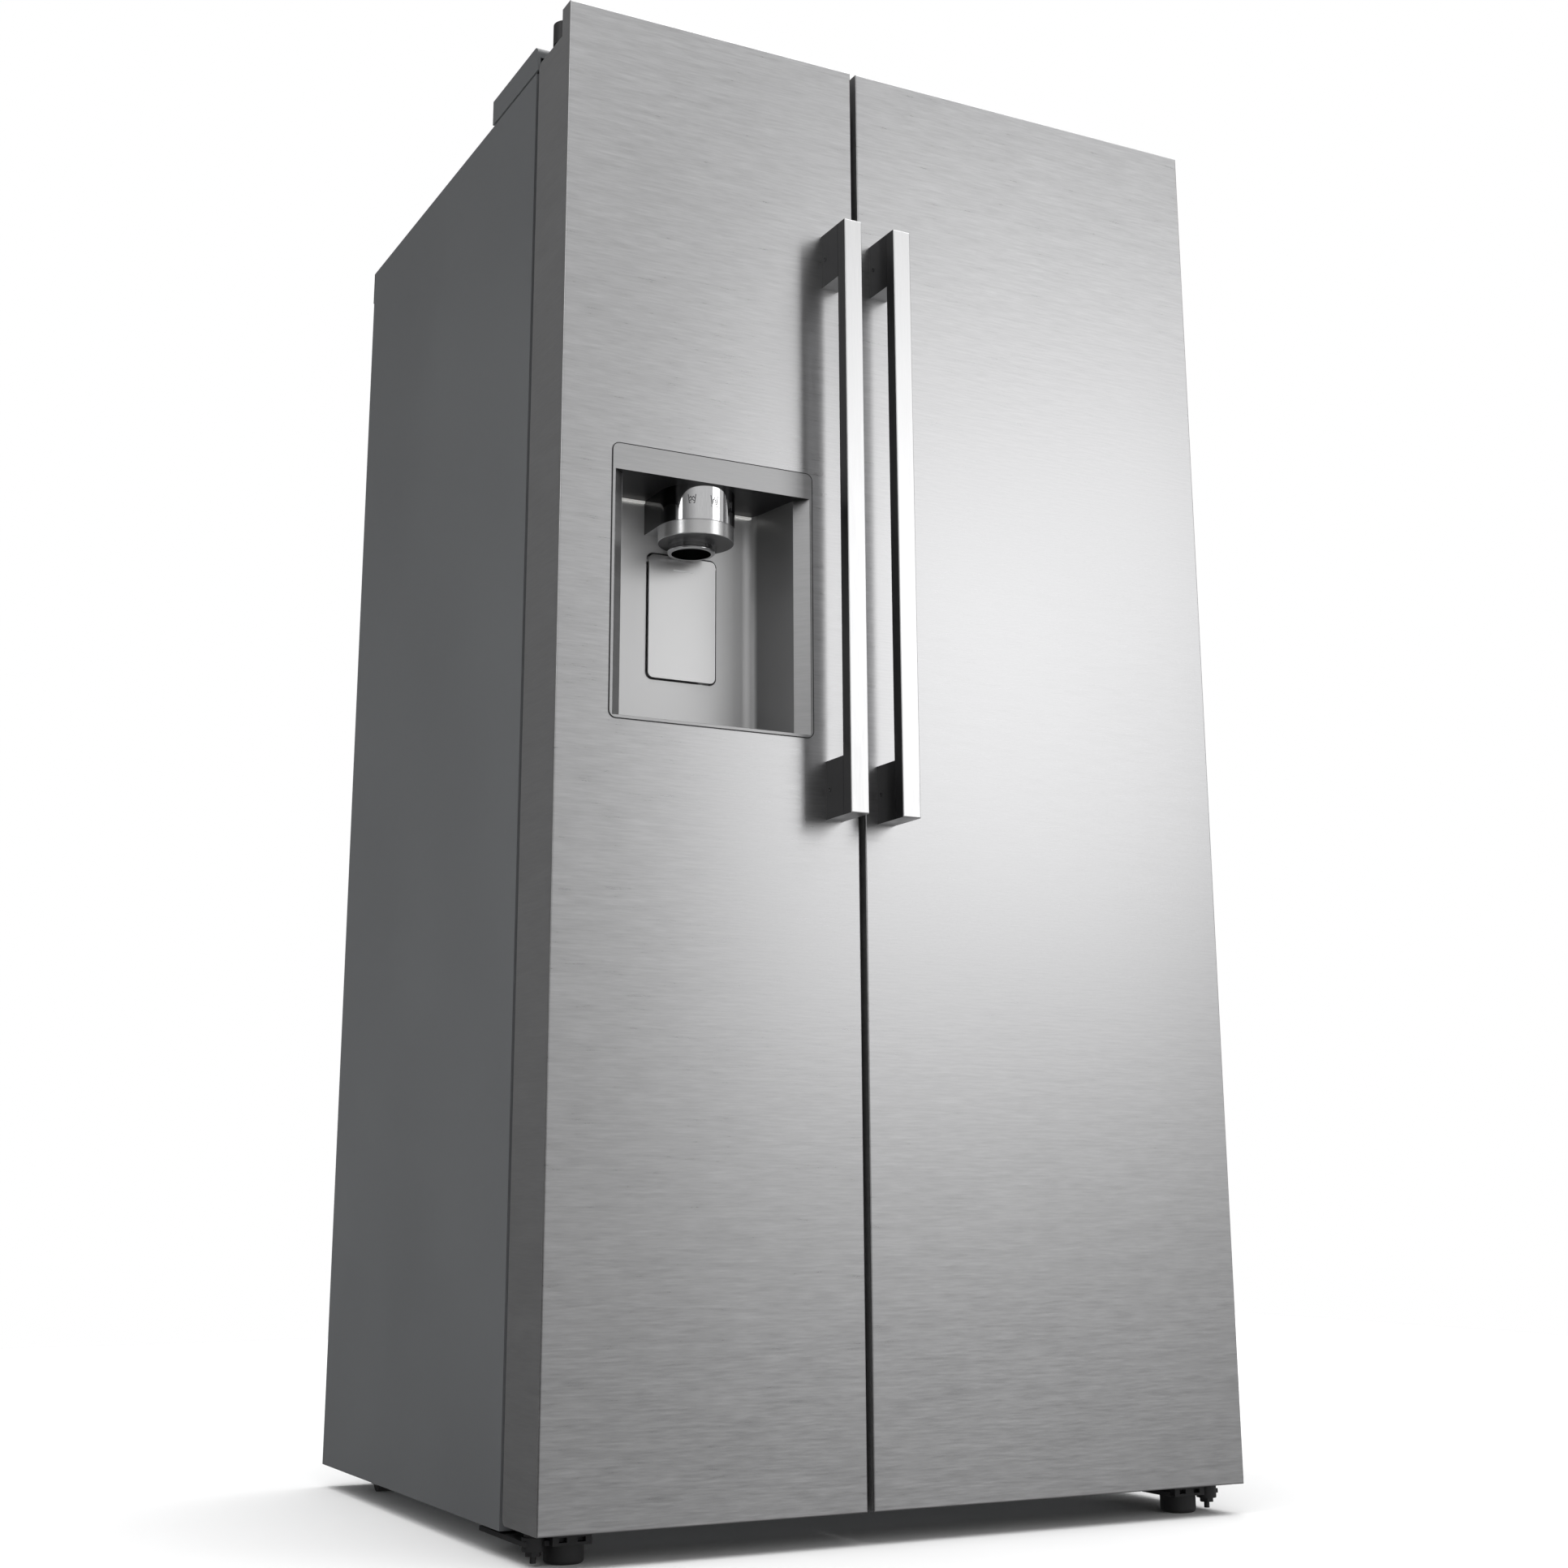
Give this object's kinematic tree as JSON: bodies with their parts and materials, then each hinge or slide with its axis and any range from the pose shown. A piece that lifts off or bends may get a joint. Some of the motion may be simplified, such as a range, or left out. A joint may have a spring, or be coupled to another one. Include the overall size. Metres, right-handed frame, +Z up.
{
  "type": "side by side refrigerator",
  "caption": "Free-standing side by side refrigerator and freezer with an ice and water dispenser, bar handles, shelves, drawers and door bins.",
  "frame": {"origin": "on the floor, at the centre of the footprint (handles to rear spacer)", "axes": "+Z up, doors face -Y, freezer door at -X"},
  "size_m": [0.912, 0.855, 1.785],
  "materials": {
    "stainless": "horizontal brushed satin",
    "handle_satin": "fine satin",
    "door_grey": "fine brushed, dark",
    "case_grey": "low gloss textured paint",
    "galvanised": "bare zinc coated sheet",
    "black_metal": "satin black",
    "black_plastic": "fine grain",
    "foam": "closed cell foam",
    "liner_white": "smooth",
    "clear_plastic": "clear",
    "shelf_glass": "clear",
    "seal": "matte",
    "chrome_trim": "mirror",
    "satin_silver": "satin",
    "dispenser_silver": "satin metallic",
    "aluminium_fin": "mill finish",
    "lamp_lens": "frosted",
    "grey_plastic": "moulded"
  },
  "bodies": {
    "cabinet": {"left_side_panel": "case_grey", "right_side_panel": "case_grey", "top_panel": "case_grey", "back_panel": "galvanised", "base_plate": "galvanised", "cabinet_foam": "foam", "freezer_liner": "liner_white", "fridge_liner": "liner_white", "hinge_cover_left": "case_grey", "hinge_cover_right": "case_grey", "upper_hinge_left": "black_metal", "upper_hinge_right": "black_metal", "lower_hinge_left": "black_metal", "lower_hinge_right": "black_metal", "levelling_feet": "black_plastic", "rear_spacer": "black_plastic", "machine_cover": "galvanised", "compressor": "black_metal", "condenser": "black_metal", "fan_motors": "grey_plastic", "drain_pan": "black_plastic", "water_valve": "grey_plastic", "cord_gland": "black_plastic", "evaporator": "aluminium_fin", "evaporator_cover": "liner_white", "fridge_air_duct": "liner_white", "freezer_shelves": "shelf_glass", "fridge_shelf_upper": "shelf_glass", "fridge_shelf_middle": "shelf_glass", "crisper_cover": "shelf_glass", "interior_lamps": "lamp_lens", "water_filter": "liner_white"},
    "freezer_door": {"freezer_door_skin": "stainless", "freezer_door_frame": "door_grey", "freezer_door_foam": "foam", "freezer_door_liner": "liner_white", "freezer_door_gasket": "seal", "freezer_handle": "handle_satin", "freezer_door_bins": "clear_plastic", "dispenser_frame": "dispenser_silver", "dispenser_recess": "dispenser_silver", "nozzle_housing": "chrome_trim", "nozzle_ring": "satin_silver", "ice_spout": "chrome_trim", "ice_maker": "liner_white"},
    "fridge_door": {"fridge_door_skin": "stainless", "fridge_door_frame": "door_grey", "fridge_door_foam": "foam", "fridge_door_liner": "liner_white", "fridge_door_gasket": "seal", "fridge_handle": "handle_satin", "fridge_door_bins": "clear_plastic"},
    "paddle": {"dispenser_paddle": "satin_silver"},
    "ice_flap_body": {"ice_flap": "black_plastic"},
    "upper_crisper_body": {"upper_crisper": "clear_plastic"},
    "lower_crisper_body": {"lower_crisper": "clear_plastic"},
    "freezer_drawer_body": {"freezer_drawer": "clear_plastic"},
    "evaporator_fan_body": {"evaporator_fan": "black_plastic"},
    "condenser_fan_body": {"condenser_fan": "black_plastic"},
    "rollers": {"rear_rollers": "black_plastic"}
  },
  "joints": [
    {"name": "freezer_door_hinge", "type": "hinge", "parent": "cabinet", "child": "freezer_door", "pos_m": [-0.4395, -0.3145, 0.875], "axis": [0, 0, -1], "range_deg": [0, 120]},
    {"name": "fridge_door_hinge", "type": "hinge", "parent": "cabinet", "child": "fridge_door", "pos_m": [0.4395, -0.3145, 0.875], "axis": [0, 0, 1], "range_deg": [0, 120]},
    {"name": "paddle_press", "type": "hinge", "parent": "freezer_door", "child": "paddle", "pos_m": [-0.2585, -0.2665, 1.123], "axis": [1, 0, 0], "range_deg": [0, 5], "stiffness_Nm_per_rad": 0.8, "springref_deg": -8.59},
    {"name": "ice_flap_hinge", "type": "hinge", "parent": "freezer_door", "child": "ice_flap_body", "pos_m": [-0.26, -0.284, 1.1895], "axis": [1, 0, 0], "range_deg": [0, 60]},
    {"name": "upper_crisper_slide", "type": "slide", "parent": "cabinet", "child": "upper_crisper_body", "axis": [0, -1, 0], "range_m": [0, 0.115]},
    {"name": "lower_crisper_slide", "type": "slide", "parent": "cabinet", "child": "lower_crisper_body", "axis": [0, -1, 0], "range_m": [0, 0.115]},
    {"name": "freezer_drawer_slide", "type": "slide", "parent": "cabinet", "child": "freezer_drawer_body", "axis": [0, -1, 0], "range_m": [0, 0.115]},
    {"name": "evaporator_fan_spin", "type": "hinge", "parent": "cabinet", "child": "evaporator_fan_body", "pos_m": [-0.244, 0.2825, 1.215], "axis": [0, 1, 0], "continuous": true},
    {"name": "condenser_fan_spin", "type": "hinge", "parent": "cabinet", "child": "condenser_fan_body", "pos_m": [-0.044, 0.3045, 0.153], "axis": [1, 0, 0], "continuous": true},
    {"name": "rollers_roll", "type": "hinge", "parent": "cabinet", "child": "rollers", "pos_m": [0, 0.3325, 0.013], "axis": [1, 0, 0], "continuous": true}
  ],
  "couplings": [
    {"joint": "ice_flap_hinge", "follows": "paddle_press", "ratio": 12}
  ]
}
